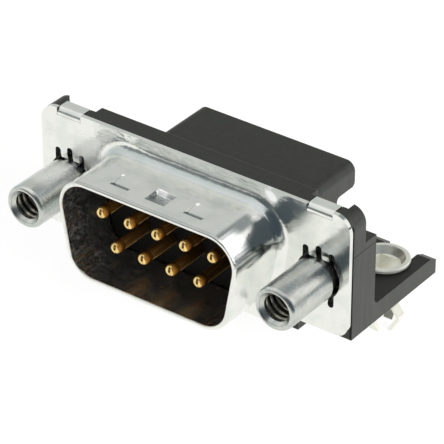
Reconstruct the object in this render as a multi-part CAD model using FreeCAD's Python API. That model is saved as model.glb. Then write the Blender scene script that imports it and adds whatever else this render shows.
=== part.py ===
import FreeCAD, Part
import math
import os

# A right-angle nine-way D-sub plug for a printed circuit board, in millimetres.
# X runs across the connector, +Y runs from the mating side to the rear, +Z is up.
# The origin is the centre of the D, on the front face of the flange.

V = FreeCAD.Vector

# Mating interface
PIN_PITCH = 2.77
ROW_PITCH = 2.84
TOP_ROW_COUNT = 5
BOTTOM_ROW_COUNT = 4

# Board interface
BOARD_DROP = 5.3
FIRST_TAIL_ROW = 8.08
LOCK_BEHIND_FLANGE = 9.5
TAIL_BELOW_BOARD = 3.2

# Drawn front shell
SHEET = 0.4
MOUTH_WIDTH = 16.92
MOUTH_HEIGHT = 8.36
MOUTH_CORNER = 2.3
MOUTH_SLOPE = math.radians(10.0)
SHROUD_DEPTH = 6.0
ROOT_RADIUS = 0.9
RIM_OUTER_RADIUS = 0.22
RIM_INNER_RADIUS = 0.1
SCREW_FROM_MOUTH = 4.035
EAR_MARGIN = 2.91
FLANGE_MARGIN = 2.07
FLANGE_TOP_CORNER = 1.5
EAR_DROP = 4.9
EAR_LOWER_CORNER = 1.2
SKIRT_CORNER = 0.5

# Dents pressed into the shroud's long walls
DENT_PITCH = 3.65
DENT_BEHIND_RIM = 1.43
DENT_LENGTH = 1.56
DENT_WIDTH = 1.8
DENT_DEPTH = 0.15
DENT_FRONT_SLOPE = 0.42
CENTRE_DENT_BEHIND_RIM = 1.18
CENTRE_DENT_LENGTH = 1.72
CENTRE_DENT_WIDTH = 1.95
CENTRE_DENT_FLOOR = 1.6
CENTRE_DENT_DEPTH = 0.36
CENTRE_DENT_REAR_SLOPE = 0.16
DENT_EDGE = 0.04

# Holes with spring fingers for the screwlocks
HOLE_RADIUS = 2.05
SLOT_WIDTH = 0.56
SLOT_PITCH = 1.24
CENTRE_SLOT_REACH = 2.79
SIDE_SLOT_REACH = 2.49
FINGER_SETBACK = 0.1
FINGER_CLEARANCE = 0.02

# Tabs folded over the plastic
TAB_WIDTH = 2.4
TAB_BEND_RADIUS = 0.6
TAB_REACH = 1.35
TAB_RELIEF = 0.03
TAB_ROOT = 0.68
TAB_CREASE = 0.06

# Front insulator
PLATE_BACK = 2.3
PLATE_INSET = 0.05
LAND_FRONT = 0.6
LAND_CLEARANCE = 0.08
SEAM_HEIGHT = 2.45
LEDGE_HEIGHT = 0.62
BLOCK_CLEARANCE = 0.1
LIP_DEPTH = 1.3
PLATE_EDGE = 0.12
POCKET_CLEARANCE = 0.05
SCALLOP_WIDTH = 3.5
SCALLOP_START = 1.4
SCALLOP_FLOOR = 0.8
PLASTIC_CORNER = 1.35

# Brackets
BRACKET_FROM_SCREW = 1.995
BRACKET_DEPTH = 3.75
SEAM_GAP = 0.05
FOOT_WIDENING = 0.9
SKIRT_CLEARANCE = 0.6
FOOT_BACK = 12.8
FOOT_THICKNESS = 1.7
FOOT_FILLET = 0.6
FORK_SLOT_WIDTH = 3.2
PRONG_CHAMFER_LENGTH = 0.85
PRONG_CHAMFER_HEIGHT = 0.4
BRACKET_EDGE = 0.25

# Screwlocks
BARREL_RADIUS = 1.9
BARREL_LENGTH = 6.0
BARREL_SHOULDER = 0.7
BARREL_ROUND = 0.36
NECK_RADIUS = 1.6
THREAD_MAJOR_RADIUS = 1.42
THREAD_DEPTH = 5.4
MOUTH_CHAMFER = 0.12
DRILL_POINT = math.radians(59.0)
SEAT_FRONT = 1.5
SEAT_THICKNESS = 0.5
SEAT_RADIUS = 1.8
SEAT_POCKET_CLEARANCE = 0.12
SHANK_RADIUS = 1.3
SHANK_CLEARANCE = 0.05
SWAGE_RADIUS = 1.95
SWAGE_THICKNESS = 0.45

# Board locks
LOCK_METAL = 0.25
LOCK_TUBE_CLEARANCE = 0.05
LOCK_SEAT_RADIUS = 1.85
LOCK_RIM_RADIUS = 2.2
LOCK_RIM_GAP = 0.18
LOCK_RIM_HEIGHT = 0.26
LOCK_RIM_EDGE = 0.08
LOCK_FLARE_RADIUS = 1.78
LOCK_THROAT_RADIUS = 1.36
LOCK_THROAT_DEPTH = 0.15
LOCK_HOLE = 2.0
LEG_COUNT = 4
LEG_WIDTH = 0.86
LEG_STRAIGHT = 2.05
LEG_BARB_RADIUS = 1.95
LEG_BARB_DROP = 3.0
LEG_TIP_RADIUS = 1.1
LEG_TIP_DROP = 4.5
LEG_BEND_RADIUS = 0.4

# Contacts
PIN_RADIUS = 0.5
PIN_TIP_BEHIND_RIM = 1.3
NOSE_LENGTH = 0.7
NOSE_FLAT_RADIUS = 0.2
SEAM_SLIT_WIDTH = 0.22
SEAM_SLIT_START = 0.08
SEAM_SLIT_LENGTH = 0.58
SEAM_SLIT_FLOOR = 0.06
SHOULDER_RADIUS = 0.68
BORE_CLEARANCE = 0.02
COLLAR_RADIUS = 0.85
COLLAR_FRONT = 1.1
COLLAR_CLEARANCE = 0.05
TAIL_RADIUS = 0.3
TAIL_BORE_CLEARANCE = 0.03
TAIL_BEND = 0.8
TAIL_CHAMFER = 0.1

# Rear insulator and hood
REAR_BLOCK_BACK = 5.2
REAR_BLOCK_TOP = 2.2
HOOD_SIDE_ROOM = 1.6
HOOD_TOP = 3.07
HOOD_BACK = 11.75
HOOD_WALL = 0.8
HOOD_SKIRT_BOTTOM = 0.85
HOOD_WALL_BACK = 9.2
HOOD_EDGE = 0.85
HOOD_REAR_CORNER = 0.4
HOOD_CLEARANCE = 0.05

MIRRORED = (-1, 1)
RIM = -SHROUD_DEPTH
BOARD = -BOARD_DROP
SCREW_X = MOUTH_WIDTH / 2 + SCREW_FROM_MOUTH
FLANGE_SIDE = SCREW_X + EAR_MARGIN
FLANGE_TOP = MOUTH_HEIGHT / 2 + FLANGE_MARGIN
BRACKET_INNER = SCREW_X - BRACKET_FROM_SCREW
BLOCK_SIDE = BRACKET_INNER - BLOCK_CLEARANCE
SKIRT_SIDE = BRACKET_INNER - SKIRT_CLEARANCE
FOOT_INNER = BRACKET_INNER - FOOT_WIDENING
HOOD_SIDE = (TOP_ROW_COUNT - 1) / 2 * PIN_PITCH + HOOD_SIDE_ROOM + HOOD_WALL


def rounded_wire(corners, place):
    """Closed wire through (a, b, radius) corners, with place(a, b) giving the point in space."""
    count = len(corners)
    points = []
    for i in range(count):
        a, b, radius = corners[i]
        before = corners[i - 1]
        after = corners[(i + 1) % count]
        here = V(a, b, 0)
        back = (V(before[0], before[1], 0) - here).normalize()
        ahead = (V(after[0], after[1], 0) - here).normalize()
        if radius <= 0:
            points.append((here, None, here))
            continue
        half = back.getAngle(ahead) / 2
        reach = radius / math.tan(half)
        inward = (back + ahead).normalize()
        centre = here + inward * (radius / math.sin(half))
        points.append((here + back * reach, centre - inward * radius, here + ahead * reach))
    edges = []
    for i in range(count):
        start, middle, end = points[i]
        if middle is not None:
            edges.append(Part.Arc(place(start), place(middle), place(end)).toShape())
        follow = points[(i + 1) % count][0]
        if end.distanceToPoint(follow) > 1e-6:
            edges.append(Part.LineSegment(place(end), place(follow)).toShape())
    return Part.Wire(edges)


def along_y(corners, y0, y1):
    """Prism of an outline in X and Z, from y0 to y1."""
    wire = rounded_wire(corners, lambda p: V(p.x, y0, p.y))
    return Part.Face(wire).extrude(V(0, y1 - y0, 0))


def along_x(corners, x0, x1):
    """Prism of an outline in Y and Z, from x0 to x1."""
    wire = rounded_wire(corners, lambda p: V(x0, p.x, p.y))
    return Part.Face(wire).extrude(V(x1 - x0, 0, 0))


def box(x0, x1, y0, y1, z0, z1):
    """Box between two corners."""
    return Part.makeBox(x1 - x0, y1 - y0, z1 - z0, V(x0, y0, z0))


def rod(radius, x, z, y0, y1):
    """Cylinder along Y."""
    return Part.makeCylinder(radius, y1 - y0, V(x, y0, z), V(0, 1, 0))


def turned(profile, x, z):
    """Solid of revolution about a line along Y, from (radius, y) points."""
    points = [V(x + radius, y, z) for radius, y in profile]
    wire = Part.makePolygon(points + [points[0]])
    return Part.Face(wire).revolve(V(x, 0, z), V(0, 1, 0), 360)


def mirrored(shape):
    """The same piece on the other side of the middle plane."""
    return shape.mirror(V(0, 0, 0), V(1, 0, 0))


def edges_where(shape, test):
    """Edges whose ends and middle all pass a test on points."""
    chosen = []
    for edge in shape.Edges:
        middle = edge.valueAt((edge.FirstParameter + edge.LastParameter) / 2)
        ends = [vertex.Point for vertex in edge.Vertexes]
        if all(test(p) for p in ends + [middle]):
            chosen.append(edge)
    return chosen


def near(a, b):
    return abs(a - b) < 1e-4


def d_outline(grow):
    """Corners of the D, moved outward by grow."""
    half_width = MOUTH_WIDTH / 2 + grow
    half_height = MOUTH_HEIGHT / 2 + grow
    radius = MOUTH_CORNER + grow
    top = half_width - radius + radius * (1 + math.sin(MOUTH_SLOPE)) / math.cos(MOUTH_SLOPE)
    bottom = top - 2 * half_height * math.tan(MOUTH_SLOPE)
    return [
        (-top, half_height, radius),
        (top, half_height, radius),
        (bottom, -half_height, radius),
        (-bottom, -half_height, radius),
    ]


def pin_places():
    """(x, z, tail distance) of each contact, upper row first."""
    places = []
    for i in range(TOP_ROW_COUNT):
        x = (i - (TOP_ROW_COUNT - 1) / 2) * PIN_PITCH
        places.append((x, ROW_PITCH / 2, FIRST_TAIL_ROW + ROW_PITCH))
    for i in range(BOTTOM_ROW_COUNT):
        x = (i - (BOTTOM_ROW_COUNT - 1) / 2) * PIN_PITCH
        places.append((x, -ROW_PITCH / 2, FIRST_TAIL_ROW))
    return places


def flange_outline():
    """Flange with ears, and a deeper skirt between them."""
    return [
        (-FLANGE_SIDE, FLANGE_TOP, FLANGE_TOP_CORNER),
        (FLANGE_SIDE, FLANGE_TOP, FLANGE_TOP_CORNER),
        (FLANGE_SIDE, -EAR_DROP, EAR_LOWER_CORNER),
        (SKIRT_SIDE, -EAR_DROP, SKIRT_CORNER),
        (SKIRT_SIDE, -FLANGE_TOP, SKIRT_CORNER),
        (-SKIRT_SIDE, -FLANGE_TOP, SKIRT_CORNER),
        (-SKIRT_SIDE, -EAR_DROP, SKIRT_CORNER),
        (-FLANGE_SIDE, -EAR_DROP, EAR_LOWER_CORNER),
    ]


def drawn_shell():
    """Flange and shroud drawn from one sheet, with rounded roots and rim."""
    flange = along_y(flange_outline(), 0, SHEET)
    body = flange.fuse(along_y(d_outline(SHEET), RIM, SHEET)).removeSplitter()
    outer_reach = MOUTH_WIDTH / 2 + SHEET + 0.1
    outer_height = MOUTH_HEIGHT / 2 + SHEET + 0.1
    root = edges_where(
        body, lambda p: near(p.y, 0) and abs(p.x) < outer_reach + 0.4 and abs(p.z) < outer_height
    )
    body = body.makeFillet(ROOT_RADIUS, root)
    body = body.makeFillet(RIM_OUTER_RADIUS, edges_where(body, lambda p: near(p.y, RIM)))
    body = body.cut(along_y(d_outline(0), RIM - 1, SHEET + 1))
    back = edges_where(
        body, lambda p: near(p.y, SHEET) and abs(p.x) < outer_reach and abs(p.z) < outer_height - SHEET
    )
    body = body.makeFillet(ROOT_RADIUS + SHEET, back)
    mouth = rounded_wire(d_outline(0), lambda p: V(p.x, RIM, p.y))
    lip = edges_where(body, lambda p: near(p.y, RIM) and Part.Vertex(p).distToShape(mouth)[0] < 1e-3)
    return body.makeFillet(RIM_INNER_RADIUS, lip)


def pit(x, surface, depth, mouth, floor):
    """Pit under the upper wall, lofted from its mouth to its floor, each a (half width, front, back)."""
    rings = []
    for (half, front, back), drop in ((mouth, 0.0), (floor, depth)):
        z = surface - drop
        corners = [V(x - half, front, z), V(x + half, front, z), V(x + half, back, z), V(x - half, back, z)]
        rings.append(Part.makePolygon(corners + [corners[0]]))
    return Part.makeLoft(rings, True, True)


def side_dent(x, surface):
    """Dent with a short slope down in front and a floor that climbs to the rear."""
    front = RIM + DENT_BEHIND_RIM
    half = DENT_WIDTH / 2
    lowest = front + DENT_FRONT_SLOPE
    mouth = (half, front, front + DENT_LENGTH)
    floor = (half - DENT_EDGE, lowest, lowest + DENT_EDGE)
    return pit(x, surface, DENT_DEPTH, mouth, floor)


def centre_dent(x, surface):
    """Deeper dent with a long slope in front and a steep wall behind."""
    front = RIM + CENTRE_DENT_BEHIND_RIM
    back = front + CENTRE_DENT_LENGTH
    lowest = back - CENTRE_DENT_REAR_SLOPE
    mouth = (CENTRE_DENT_WIDTH / 2, front, back)
    floor = (CENTRE_DENT_FLOOR / 2, lowest - DENT_EDGE, lowest)
    return pit(x, surface, CENTRE_DENT_DEPTH, mouth, floor)


def dents():
    """Bosses inside the shroud's upper wall and the dents outside that make them."""
    inside = MOUTH_HEIGHT / 2
    outside = inside + SHEET
    bosses = []
    hollows = []
    for i in (-1, 0, 1):
        make = side_dent if i else centre_dent
        bosses.append(make(i * DENT_PITCH, inside))
        hollows.append(make(i * DENT_PITCH, outside))
    return bosses, hollows


def finger_tip():
    """Height of a finger's tip above the screwlock's axis."""
    return math.sqrt((NECK_RADIUS + FINGER_CLEARANCE) ** 2 - (SLOT_WIDTH / 2) ** 2)


def finger_hole(x):
    """Cutter for a screwlock hole: disc, finger window and six rounded slots."""
    y0 = -0.5
    y1 = SHEET + 0.5
    window = SLOT_PITCH - SLOT_WIDTH / 2
    cutters = [box(x - window, x + window, y0, y1, -HOLE_RADIUS, HOLE_RADIUS)]
    for i in (-1, 0, 1):
        reach = SIDE_SLOT_REACH if i else CENTRE_SLOT_REACH
        centre = x + i * SLOT_PITCH
        end = reach - SLOT_WIDTH / 2
        cutters.append(box(centre - SLOT_WIDTH / 2, centre + SLOT_WIDTH / 2, y0, y1, -end, end))
        for side in MIRRORED:
            cutters.append(rod(SLOT_WIDTH / 2, centre, side * end, y0, y1))
    return rod(HOLE_RADIUS, x, 0, y0, y1).fuse(cutters)


def fingers(x):
    """Four spring fingers, set back a little, that rest on the screwlock's neck."""
    tip = finger_tip()
    made = []
    for side in MIRRORED:
        profile = [
            (0, side * HOLE_RADIUS, 0),
            (SHEET, side * HOLE_RADIUS, 0),
            (SHEET + FINGER_SETBACK, side * tip, 0),
            (FINGER_SETBACK, side * tip, 0),
        ]
        for hand in MIRRORED:
            inner = x + hand * SLOT_WIDTH / 2
            outer = x + hand * (SLOT_PITCH - SLOT_WIDTH / 2)
            made.append(along_x(profile, min(inner, outer), max(inner, outer)))
    return made


def tab(centre):
    """Tab folded back over the plastic at the top edge."""
    edge = FLANGE_TOP
    profile = [
        (0, edge - TAB_ROOT, 0),
        (0, edge, TAB_BEND_RADIUS),
        (TAB_REACH, edge, 0),
        (TAB_REACH, edge - SHEET, 0),
        (SHEET, edge - SHEET, TAB_BEND_RADIUS - SHEET),
        (SHEET, edge - TAB_ROOT, 0),
    ]
    return along_x(profile, centre - TAB_WIDTH / 2, centre + TAB_WIDTH / 2)


def tab_notch(centre):
    """Notch in the flange that frees the tab on both sides."""
    half = TAB_WIDTH / 2 + TAB_RELIEF
    return box(centre - half, centre + half, -0.5, SHEET + 0.5, FLANGE_TOP - TAB_ROOT, FLANGE_TOP + 1)


def tab_crease(centre):
    """Shallow groove across the front where the tab starts to bend."""
    half = TAB_WIDTH / 2
    root = FLANGE_TOP - TAB_ROOT
    return box(centre - half, centre + half, -0.5, TAB_CREASE, root, root + TAB_CREASE)


def front_shell():
    bosses, hollows = dents()
    cutters = list(hollows)
    added = []
    for hand in MIRRORED:
        x = hand * SCREW_X
        cutters += [finger_hole(x), tab_notch(x)]
        added += fingers(x) + [tab(x)]
    body = drawn_shell().fuse(bosses).cut(cutters)
    creases = [tab_crease(hand * SCREW_X) for hand in MIRRORED]
    return body.fuse(added).cut(creases).removeSplitter()


def insulator_outline():
    """Plate behind the flange: full ears above the seam, a narrower block below it."""
    top = FLANGE_TOP - PLATE_INSET
    return [
        (-FLANGE_SIDE, top, PLASTIC_CORNER),
        (FLANGE_SIDE, top, PLASTIC_CORNER),
        (FLANGE_SIDE, SEAM_HEIGHT, 0),
        (BLOCK_SIDE, SEAM_HEIGHT, 0),
        (BLOCK_SIDE, BOARD, 0),
        (-BLOCK_SIDE, BOARD, 0),
        (-BLOCK_SIDE, SEAM_HEIGHT, 0),
        (-FLANGE_SIDE, SEAM_HEIGHT, 0),
    ]


def tab_pocket(centre):
    """Pocket in the plastic for a folded tab, with a wider scallop behind it."""
    half = TAB_WIDTH / 2 + POCKET_CLEARANCE
    floor = FLANGE_TOP - SHEET - POCKET_CLEARANCE
    bend = TAB_BEND_RADIUS - SHEET
    wide = SCALLOP_WIDTH / 2
    deep = FLANGE_TOP - SCALLOP_FLOOR
    above = FLANGE_TOP + 1
    pocket = box(centre - half, centre + half, 0, SCALLOP_START, floor, above)
    room = box(centre - half, centre + half, 0, SHEET + bend, floor - bend, above)
    scallop = box(centre - wide, centre + wide, SCALLOP_START, BRACKET_DEPTH, deep, above)
    return [pocket, room, scallop]


def contact_bore(x, z):
    """Stepped bore: close on the pin's shoulder, wider behind for its collar."""
    close = rod(SHOULDER_RADIUS + BORE_CLEARANCE, x, z, -LAND_FRONT - 1, PLATE_BACK + 1)
    wide = rod(COLLAR_RADIUS + COLLAR_CLEARANCE, x, z, COLLAR_FRONT, PLATE_BACK + 1)
    return close.fuse(wide)


def front_insulator():
    plate = along_y(insulator_outline(), SHEET, PLATE_BACK)
    top = FLANGE_TOP - PLATE_INSET
    rear_edge = edges_where(plate, lambda p: near(p.y, PLATE_BACK) and p.z > top - PLASTIC_CORNER - 1e-3)
    plate = plate.makeFillet(PLATE_EDGE, rear_edge)
    lip = box(-BLOCK_SIDE, BLOCK_SIDE, SHEET, SHEET + LIP_DEPTH, -top, BOARD)
    land = along_y(d_outline(-LAND_CLEARANCE), -LAND_FRONT, SHEET)
    ledge_top = SEAM_HEIGHT + LEDGE_HEIGHT
    ledge = box(BRACKET_INNER, FLANGE_SIDE, PLATE_BACK - PLATE_EDGE, BRACKET_DEPTH, SEAM_HEIGHT, ledge_top)
    cutters = [contact_bore(x, z) for x, z, _ in pin_places()]
    for hand in MIRRORED:
        cutters += tab_pocket(hand * SCREW_X)
    return plate.fuse([lip, land, ledge, mirrored(ledge)]).cut(cutters).removeSplitter()


def bracket():
    """Right-hand leg and forked foot in one moulding."""
    leg_top = SEAM_HEIGHT - SEAM_GAP
    foot_top = BOARD + FOOT_THICKNESS
    leg = along_x(
        [
            (SHEET, BOARD, BRACKET_EDGE),
            (SHEET, leg_top, 0),
            (BRACKET_DEPTH, leg_top, 0),
            (BRACKET_DEPTH, foot_top, FOOT_FILLET),
            (FOOT_BACK - PRONG_CHAMFER_LENGTH, foot_top, 0),
            (FOOT_BACK, foot_top - PRONG_CHAMFER_HEIGHT, 0),
            (FOOT_BACK, BOARD, 0),
        ],
        BRACKET_INNER,
        FLANGE_SIDE,
    )
    foot_front = PLATE_BACK + SEAM_GAP
    widening = along_x(
        [
            (foot_front, BOARD, 0),
            (foot_front, foot_top, 0),
            (FOOT_BACK - PRONG_CHAMFER_LENGTH, foot_top, 0),
            (FOOT_BACK, foot_top - PRONG_CHAMFER_HEIGHT, 0),
            (FOOT_BACK, BOARD, 0),
        ],
        FOOT_INNER,
        BRACKET_INNER,
    )
    slot_half = FORK_SLOT_WIDTH / 2
    slot = box(
        SCREW_X - slot_half, SCREW_X + slot_half, LOCK_BEHIND_FLANGE, FOOT_BACK + 1, BOARD - 1, foot_top + 1
    )
    slot_end = Part.makeCylinder(
        slot_half, FOOT_THICKNESS + 2, V(SCREW_X, LOCK_BEHIND_FLANGE, BOARD - 1), V(0, 0, 1)
    )
    pocket = rod(SEAT_RADIUS + SEAT_POCKET_CLEARANCE, SCREW_X, 0, SHEET - 1, SEAT_FRONT + SEAT_THICKNESS)
    hole = rod(SHANK_RADIUS + SHANK_CLEARANCE, SCREW_X, 0, 0, BRACKET_DEPTH + 1)
    reach = HOLE_RADIUS + SEAM_GAP
    wide = SLOT_PITCH - SLOT_WIDTH / 2 + SEAM_GAP
    room = box(SCREW_X - wide, SCREW_X + wide, 0, SHEET + FINGER_SETBACK + SEAM_GAP, -reach, reach)
    return leg.fuse(widening).cut([slot, slot_end, pocket, hole, room]).removeSplitter()


def screwlock():
    """Right-hand screwlock turned from bar: barrel, neck, seat, shank and swaged end."""
    front = -BARREL_LENGTH
    seat_back = SEAT_FRONT + SEAT_THICKNESS
    swage_back = BRACKET_DEPTH + SWAGE_THICKNESS
    neck_step = BARREL_RADIUS - NECK_RADIUS
    profile = [
        (0, front),
        (BARREL_RADIUS, front),
        (BARREL_RADIUS, -BARREL_SHOULDER),
        (NECK_RADIUS, -BARREL_SHOULDER + neck_step / 2),
        (NECK_RADIUS, SEAT_FRONT),
        (SEAT_RADIUS, SEAT_FRONT),
        (SEAT_RADIUS, seat_back),
        (SHANK_RADIUS, seat_back),
        (SHANK_RADIUS, BRACKET_DEPTH),
        (SWAGE_RADIUS, BRACKET_DEPTH),
        (SWAGE_RADIUS - SWAGE_THICKNESS / 2, swage_back),
        (0, swage_back),
    ]
    body = turned(profile, SCREW_X, 0)
    lip = edges_where(body, lambda p: near(p.y, front) and p.distanceToPoint(V(SCREW_X, front, 0)) > 1)
    body = body.makeFillet(BARREL_ROUND, lip)
    mouth = THREAD_MAJOR_RADIUS + MOUTH_CHAMFER
    floor = front + THREAD_DEPTH
    bore = turned(
        [
            (0, front - 1),
            (mouth, front - 1),
            (mouth, front),
            (THREAD_MAJOR_RADIUS, front + MOUTH_CHAMFER),
            (THREAD_MAJOR_RADIUS, floor),
            (0, floor + THREAD_MAJOR_RADIUS / math.tan(DRILL_POINT)),
        ],
        SCREW_X,
        0,
    )
    return body.cut(bore)


def upright(profile):
    """Solid of revolution about the board lock's axis, from (radius, z) points."""
    points = [V(SCREW_X + radius, LOCK_BEHIND_FLANGE, z) for radius, z in profile]
    wire = Part.makePolygon(points + [points[0]])
    axis = V(SCREW_X, LOCK_BEHIND_FLANGE, 0)
    return Part.Face(wire).revolve(axis, V(0, 0, 1), 360)


def eyelet():
    """Flared collar over the foot, with a square hole down its tube."""
    foot_top = BOARD + FOOT_THICKNESS
    rim_bottom = foot_top + LOCK_RIM_GAP
    top = rim_bottom + LOCK_RIM_HEIGHT
    outside = FORK_SLOT_WIDTH / 2 - LOCK_TUBE_CLEARANCE
    throat = foot_top - LOCK_THROAT_DEPTH
    collar = upright(
        [
            (0, BOARD),
            (outside, BOARD),
            (outside, foot_top),
            (LOCK_SEAT_RADIUS, foot_top),
            (LOCK_RIM_RADIUS, rim_bottom),
            (LOCK_RIM_RADIUS, top - LOCK_RIM_EDGE),
            (LOCK_RIM_RADIUS - LOCK_RIM_EDGE, top),
            (LOCK_FLARE_RADIUS, top),
            (LOCK_THROAT_RADIUS, throat),
            (0, throat),
        ]
    )
    half = LOCK_HOLE / 2
    hole = box(
        SCREW_X - half,
        SCREW_X + half,
        LOCK_BEHIND_FLANGE - half,
        LOCK_BEHIND_FLANGE + half,
        BOARD - 1,
        top + 1,
    )
    return collar.cut(hole)


def spring_leg():
    """Strip that runs down from one side of the square hole, bulges under the board and comes back in."""
    inside = LOCK_HOLE / 2
    outside = inside + LOCK_METAL
    start = BOARD + 0.1
    below = BOARD - LEG_STRAIGHT
    barb = BOARD - LEG_BARB_DROP
    tip = BOARD - LEG_TIP_DROP
    corners = [
        (inside, start, 0),
        (outside, start, 0),
        (outside, below, LEG_BEND_RADIUS),
        (LEG_BARB_RADIUS, barb, LEG_BEND_RADIUS),
        (LEG_TIP_RADIUS, tip, 0),
        (LEG_TIP_RADIUS - LOCK_METAL, tip + LOCK_METAL / 2, 0),
        (LEG_BARB_RADIUS - 1.3 * LOCK_METAL, barb, LEG_BEND_RADIUS - LOCK_METAL),
        (inside, below - LOCK_METAL / 2, LEG_BEND_RADIUS),
    ]
    side = LOCK_BEHIND_FLANGE - LEG_WIDTH / 2
    wire = rounded_wire(corners, lambda p: V(SCREW_X + p.x, side, p.y))
    return Part.Face(wire).extrude(V(0, LEG_WIDTH, 0))


def board_lock():
    """Right-hand board lock: flared eyelet with four spring legs that snap through the board."""
    axis = V(SCREW_X, LOCK_BEHIND_FLANGE, 0)
    legs = []
    for i in range(LEG_COUNT):
        leg = spring_leg()
        leg.rotate(axis, V(0, 0, 1), i * 360 / LEG_COUNT)
        legs.append(leg)
    return eyelet().fuse(legs).removeSplitter()


def seam_slit(x, tip, z):
    """Almond-shaped pit where the rolled pin's seam opens on top of its nose."""
    floor = z + SEAM_SLIT_FLOOR
    half = SEAM_SLIT_WIDTH / 2
    start = V(x, tip + SEAM_SLIT_START, floor)
    end = V(x, tip + SEAM_SLIT_START + SEAM_SLIT_LENGTH, floor)
    middle = (start.y + end.y) / 2
    sides = [Part.Arc(start, V(x + half, middle, floor), end), Part.Arc(end, V(x - half, middle, floor), start)]
    return Part.Face(Part.Wire([c.toShape() for c in sides])).extrude(V(0, 0, 2 * PIN_RADIUS))


def contact(x, z, tail_y):
    """Rolled pin with a rounded nose, a trapped collar and a tail bent down to the board."""
    tip = RIM + PIN_TIP_BEHIND_RIM
    nose_end = tip + NOSE_LENGTH
    nose_middle = V(x + 0.8 * PIN_RADIUS, tip + 0.42 * NOSE_LENGTH, z)
    outline = [
        Part.LineSegment(V(x, tip, z), V(x + NOSE_FLAT_RADIUS, tip, z)),
        Part.Arc(V(x + NOSE_FLAT_RADIUS, tip, z), nose_middle, V(x + PIN_RADIUS, nose_end, z)),
        Part.LineSegment(V(x + PIN_RADIUS, nose_end, z), V(x + PIN_RADIUS, -LAND_FRONT, z)),
        Part.LineSegment(V(x + PIN_RADIUS, -LAND_FRONT, z), V(x + SHOULDER_RADIUS, -LAND_FRONT, z)),
        Part.LineSegment(V(x + SHOULDER_RADIUS, -LAND_FRONT, z), V(x + SHOULDER_RADIUS, COLLAR_FRONT, z)),
        Part.LineSegment(V(x + SHOULDER_RADIUS, COLLAR_FRONT, z), V(x + COLLAR_RADIUS, COLLAR_FRONT, z)),
        Part.LineSegment(V(x + COLLAR_RADIUS, COLLAR_FRONT, z), V(x + COLLAR_RADIUS, PLATE_BACK, z)),
        Part.LineSegment(V(x + COLLAR_RADIUS, PLATE_BACK, z), V(x, PLATE_BACK, z)),
        Part.LineSegment(V(x, PLATE_BACK, z), V(x, tip, z)),
    ]
    pin = Part.Face(Part.Wire([c.toShape() for c in outline])).revolve(V(x, 0, z), V(0, 1, 0), 360)
    slit = seam_slit(x, tip, z)
    bend_y = tail_y - TAIL_BEND
    run = rod(TAIL_RADIUS, x, z, PLATE_BACK - 0.2, bend_y)
    disc = Part.Face(Part.Wire([Part.makeCircle(TAIL_RADIUS, V(x, bend_y, z), V(0, 1, 0))]))
    elbow = disc.revolve(V(x, bend_y, z - TAIL_BEND), V(1, 0, 0), -90)
    end = BOARD - TAIL_BELOW_BOARD
    drop = Part.makeCylinder(TAIL_RADIUS, z - TAIL_BEND - end, V(x, tail_y, end), V(0, 0, 1))
    drop = drop.makeChamfer(TAIL_CHAMFER, edges_where(drop, lambda p: near(p.z, end)))
    return pin.cut(slit).fuse([run, elbow, drop]).removeSplitter()


def rear_insulator():
    """Block behind the plate whose small bores pass the tails and trap the collars."""
    side = HOOD_SIDE - HOOD_WALL - HOOD_CLEARANCE
    block = box(-side, side, PLATE_BACK, REAR_BLOCK_BACK, BOARD, REAR_BLOCK_TOP)
    radius = TAIL_RADIUS + TAIL_BORE_CLEARANCE
    bores = [rod(radius, x, z, PLATE_BACK - 1, REAR_BLOCK_BACK + 1) for x, z, _ in pin_places()]
    return block.cut(bores)


def rear_hood():
    """Roof and side walls over the bent tails, open below and behind."""
    inner = HOOD_SIDE - HOOD_WALL
    roof_bottom = HOOD_TOP - HOOD_WALL
    outline = [
        (-HOOD_SIDE, BOARD, 0),
        (-HOOD_SIDE, HOOD_TOP, HOOD_EDGE),
        (HOOD_SIDE, HOOD_TOP, HOOD_EDGE),
        (HOOD_SIDE, BOARD, 0),
        (inner, BOARD, 0),
        (inner, roof_bottom, 0),
        (-inner, roof_bottom, 0),
        (-inner, BOARD, 0),
    ]
    shell = along_y(outline, PLATE_BACK, HOOD_BACK)
    side_profile = [
        (PLATE_BACK, HOOD_TOP + 1, 0),
        (HOOD_BACK, HOOD_TOP + 1, 0),
        (HOOD_BACK, HOOD_SKIRT_BOTTOM, HOOD_REAR_CORNER),
        (HOOD_WALL_BACK, HOOD_SKIRT_BOTTOM, HOOD_REAR_CORNER),
        (HOOD_WALL_BACK, BOARD, 0),
        (PLATE_BACK, BOARD, 0),
    ]
    return shell.common(along_x(side_profile, -HOOD_SIDE, HOOD_SIDE)).removeSplitter()


def save(name, shape):
    shape.exportStep("parts/" + name + ".step")
    print(name, len(shape.Solids), shape.isValid(), round(shape.Volume, 3))


def main():
    os.makedirs("parts", exist_ok=True)
    save("front_shell", front_shell())
    save("front_insulator", front_insulator())
    save("rear_insulator", rear_insulator())
    save("rear_hood", rear_hood())
    for name, shape in (("bracket", bracket()), ("screwlock", screwlock()), ("board_lock", board_lock())):
        save("right_" + name, shape)
        save("left_" + name, mirrored(shape))
    for number, (x, z, tail_y) in enumerate(pin_places(), 1):
        save("contact_" + str(number), contact(x, z, tail_y))


main()
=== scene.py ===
import math

import bmesh
import bpy
import numpy as np
from mathutils import Matrix, Vector


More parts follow.
